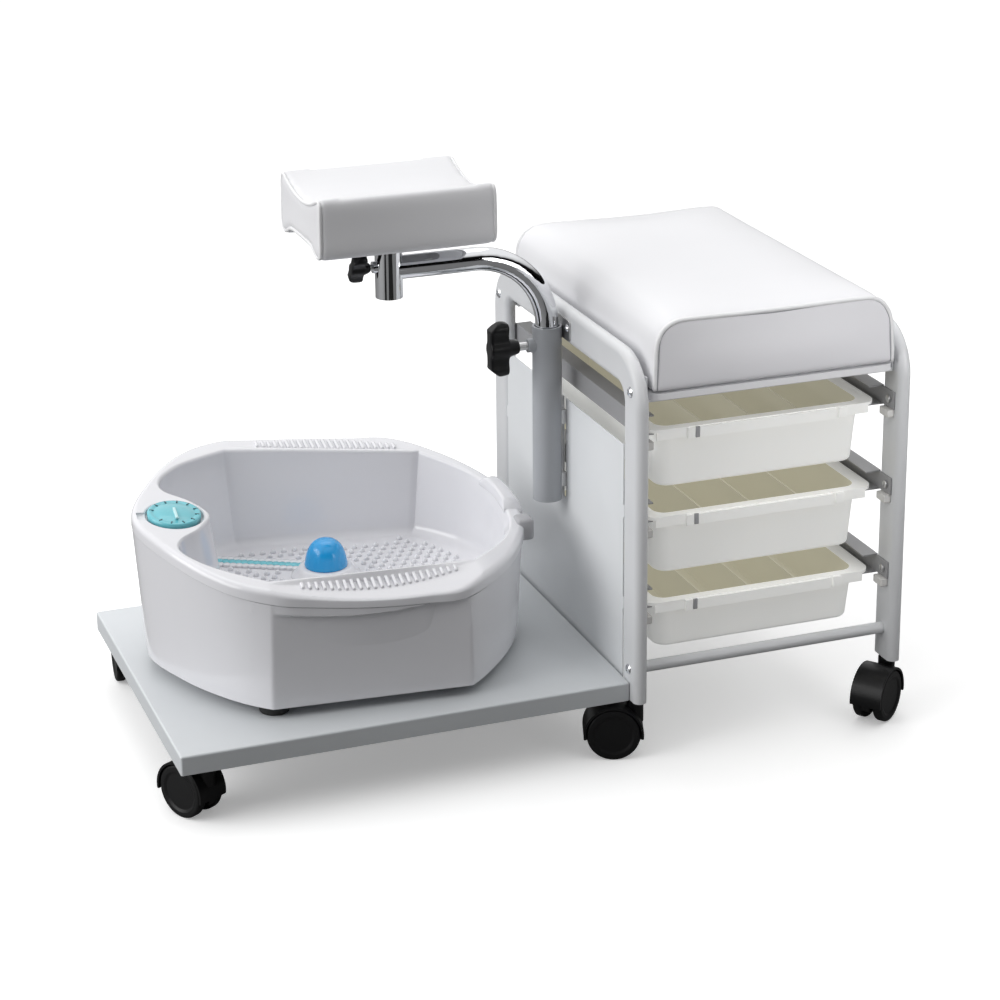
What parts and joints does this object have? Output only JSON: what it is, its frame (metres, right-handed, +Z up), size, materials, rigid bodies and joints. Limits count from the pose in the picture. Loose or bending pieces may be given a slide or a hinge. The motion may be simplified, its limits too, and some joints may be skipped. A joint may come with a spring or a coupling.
{
  "type": "pedicure trolley stool with foot bath",
  "caption": "Wheeled pedicure stool with a cushioned seat over drawers, a low platform holding a foot bath, and a padded footrest on a swinging arm.",
  "frame": {"origin": "on the floor under the middle of the bounding box", "axes": "+X from the foot bath end to the stool end, -Y the side the drawers open to, +Z up"},
  "size_m": [0.7164, 0.4206, 0.5345],
  "materials": {
    "frame_paint": "satin light grey powder coat",
    "post_paint": "satin mid grey powder coat",
    "rail_paint": "satin dark grey",
    "bare_steel": "zinc plated",
    "chrome_plate": "polished",
    "white_vinyl": "smooth soft white vinyl",
    "white_board": "pale laminated board",
    "drawer_plastic": "translucent milky white",
    "black_plastic": "satin black",
    "wheel_plastic": "dark grey nylon",
    "bath_plastic": "glossy white",
    "grey_plastic": "moulded grey",
    "black_rubber": "soft black",
    "turquoise_plastic": "translucent turquoise",
    "blue_plastic": "translucent pale blue",
    "heater_plate": "plain sheet"
  },
  "bodies": {
    "trolley_frame": {"base_tray": "frame_paint", "base_stiffeners": "frame_paint", "left_side_frame": "frame_paint", "right_side_frame": "frame_paint", "lower_cross_bars": "frame_paint", "seat_cross_bars": "frame_paint", "side_panel": "frame_paint", "frame_bolts": "chrome_plate", "rail_screws": "bare_steel", "drawer_rails": "rail_paint", "rail_end_stops": "white_board", "caster_stems": "bare_steel", "caster_sockets": "black_plastic", "seat_board": "white_board", "seat_cushion": "white_vinyl", "arm_post": "post_paint", "post_brackets": "bare_steel", "post_bush": "black_plastic"},
    "drawer_top": {"drawer_top": "drawer_plastic", "drawer_top_dividers": "drawer_plastic"},
    "drawer_middle": {"drawer_middle": "drawer_plastic", "drawer_middle_dividers": "drawer_plastic"},
    "drawer_bottom": {"drawer_bottom": "drawer_plastic", "drawer_bottom_dividers": "drawer_plastic"},
    "post_clamp": {"post_knob": "black_plastic", "post_knob_stud": "bare_steel"},
    "arm_guide": {"arm_guide_sleeve": "black_plastic"},
    "footrest_arm": {"footrest_arm": "chrome_plate"},
    "pad_clamp": {"pad_knob": "black_plastic", "pad_knob_stud": "bare_steel"},
    "pad_stem": {"pad_stem": "chrome_plate"},
    "footrest": {"pad_bracket": "rail_paint", "pad_screws": "bare_steel", "footrest_pad": "white_vinyl"},
    "foot_bath": {"bath_basin": "bath_plastic", "bath_shell": "bath_plastic", "bath_bottom_cover": "grey_plastic", "bath_feet": "black_rubber", "bath_screws": "bare_steel", "bubble_strips": "turquoise_plastic", "air_pump": "grey_plastic", "heating_element": "heater_plate", "rotary_switch": "black_plastic", "cord_inlet": "black_rubber"},
    "control_dial": {"control_dial": "turquoise_plastic"},
    "massage_knob": {"massage_knob": "blue_plastic"},
    "caster_platform_front": {"caster_platform_front_hood": "black_plastic"},
    "wheels_platform_front": {"caster_platform_front_wheels": "wheel_plastic"},
    "caster_platform_back": {"caster_platform_back_hood": "black_plastic"},
    "wheels_platform_back": {"caster_platform_back_wheels": "wheel_plastic"},
    "caster_left_front": {"caster_left_front_hood": "black_plastic"},
    "wheels_left_front": {"caster_left_front_wheels": "wheel_plastic"},
    "caster_left_back": {"caster_left_back_hood": "black_plastic"},
    "wheels_left_back": {"caster_left_back_wheels": "wheel_plastic"},
    "caster_right_front": {"caster_right_front_hood": "black_plastic"},
    "wheels_right_front": {"caster_right_front_wheels": "wheel_plastic"},
    "caster_right_back": {"caster_right_back_hood": "black_plastic"},
    "wheels_right_back": {"caster_right_back_wheels": "wheel_plastic"}
  },
  "joints": [
    {"name": "top_drawer_slide", "type": "slide", "parent": "trolley_frame", "child": "drawer_top", "axis": [0, -1, 0], "range_m": [0, 0.22]},
    {"name": "middle_drawer_slide", "type": "slide", "parent": "trolley_frame", "child": "drawer_middle", "axis": [0, -1, 0], "range_m": [0, 0.22]},
    {"name": "bottom_drawer_slide", "type": "slide", "parent": "trolley_frame", "child": "drawer_bottom", "axis": [0, -1, 0], "range_m": [0, 0.22]},
    {"name": "post_clamp_turn", "type": "hinge", "parent": "trolley_frame", "child": "post_clamp", "pos_m": [0.04, -0.003, 0.3535], "axis": [1, 0, 0], "range_deg": [-90, 90]},
    {"name": "arm_height", "type": "slide", "parent": "trolley_frame", "child": "arm_guide", "axis": [0, 0, 1], "range_m": [0, 0.06]},
    {"name": "arm_swing", "type": "hinge", "parent": "arm_guide", "child": "footrest_arm", "pos_m": [0.0594, -0.003, 0.3], "axis": [0, 0, 1], "range_deg": [-90, 90]},
    {"name": "pad_clamp_turn", "type": "hinge", "parent": "footrest_arm", "child": "pad_clamp", "pos_m": [-0.112, -0.003, 0.446], "axis": [1, 0, 0], "range_deg": [-90, 90]},
    {"name": "pad_height", "type": "slide", "parent": "footrest_arm", "child": "pad_stem", "axis": [0, 0, 1], "range_m": [0, 0.024]},
    {"name": "pad_swivel", "type": "hinge", "parent": "pad_stem", "child": "footrest", "pos_m": [-0.095, -0.003, 0.478], "axis": [0, 0, 1], "continuous": true},
    {"name": "bath_lift_off", "type": "slide", "parent": "trolley_frame", "child": "foot_bath", "axis": [0, 0, 1], "range_m": [0, 0.09]},
    {"name": "dial_turn", "type": "hinge", "parent": "foot_bath", "child": "control_dial", "pos_m": [-0.29845, 0.02655, 0.22141], "axis": [0.0617, -0.1247, 0.9903], "range_deg": [-120, 120]},
    {"name": "massage_knob_lift_off", "type": "slide", "parent": "foot_bath", "child": "massage_knob", "axis": [0, 0, 1], "range_m": [0, 0.05]},
    {"name": "platform_front_swivel", "type": "hinge", "parent": "trolley_frame", "child": "caster_platform_front", "pos_m": [-0.321, -0.149, 0.05], "axis": [0, 0, 1], "continuous": true},
    {"name": "platform_front_roll", "type": "hinge", "parent": "caster_platform_front", "child": "wheels_platform_front", "pos_m": [-0.331, -0.13168, 0.025], "axis": [-0.866, -0.5, 0], "continuous": true},
    {"name": "platform_back_swivel", "type": "hinge", "parent": "trolley_frame", "child": "caster_platform_back", "pos_m": [-0.321, 0.149, 0.05], "axis": [0, 0, 1], "continuous": true},
    {"name": "platform_back_roll", "type": "hinge", "parent": "caster_platform_back", "child": "wheels_platform_back", "pos_m": [-0.31926, 0.16892, 0.025], "axis": [-0.9962, 0.0872, 0], "continuous": true},
    {"name": "left_front_swivel", "type": "hinge", "parent": "trolley_frame", "child": "caster_left_front", "pos_m": [0.081, -0.168, 0.05], "axis": [0, 0, 1], "continuous": true},
    {"name": "left_front_roll", "type": "hinge", "parent": "caster_left_front", "child": "wheels_left_front", "pos_m": [0.06221, -0.16116, 0.025], "axis": [-0.342, -0.9397, 0], "continuous": true},
    {"name": "left_back_swivel", "type": "hinge", "parent": "trolley_frame", "child": "caster_left_back", "pos_m": [0.081, 0.168, 0.05], "axis": [0, 0, 1], "continuous": true},
    {"name": "left_back_roll", "type": "hinge", "parent": "caster_left_back", "child": "wheels_left_back", "pos_m": [0.09632, 0.18086, 0.025], "axis": [-0.6428, 0.766, 0], "continuous": true},
    {"name": "right_front_swivel", "type": "hinge", "parent": "trolley_frame", "child": "caster_right_front", "pos_m": [0.342, -0.168, 0.05], "axis": [0, 0, 1], "continuous": true},
    {"name": "right_front_roll", "type": "hinge", "parent": "caster_right_front", "child": "wheels_right_front", "pos_m": [0.32624, -0.18031, 0.025], "axis": [0.6157, -0.788, 0], "continuous": true},
    {"name": "right_back_swivel", "type": "hinge", "parent": "trolley_frame", "child": "caster_right_back", "pos_m": [0.342, 0.168, 0.05], "axis": [0, 0, 1], "continuous": true},
    {"name": "right_back_roll", "type": "hinge", "parent": "caster_right_back", "child": "wheels_right_back", "pos_m": [0.32624, 0.18031, 0.025], "axis": [-0.6157, -0.788, 0], "continuous": true}
  ]
}
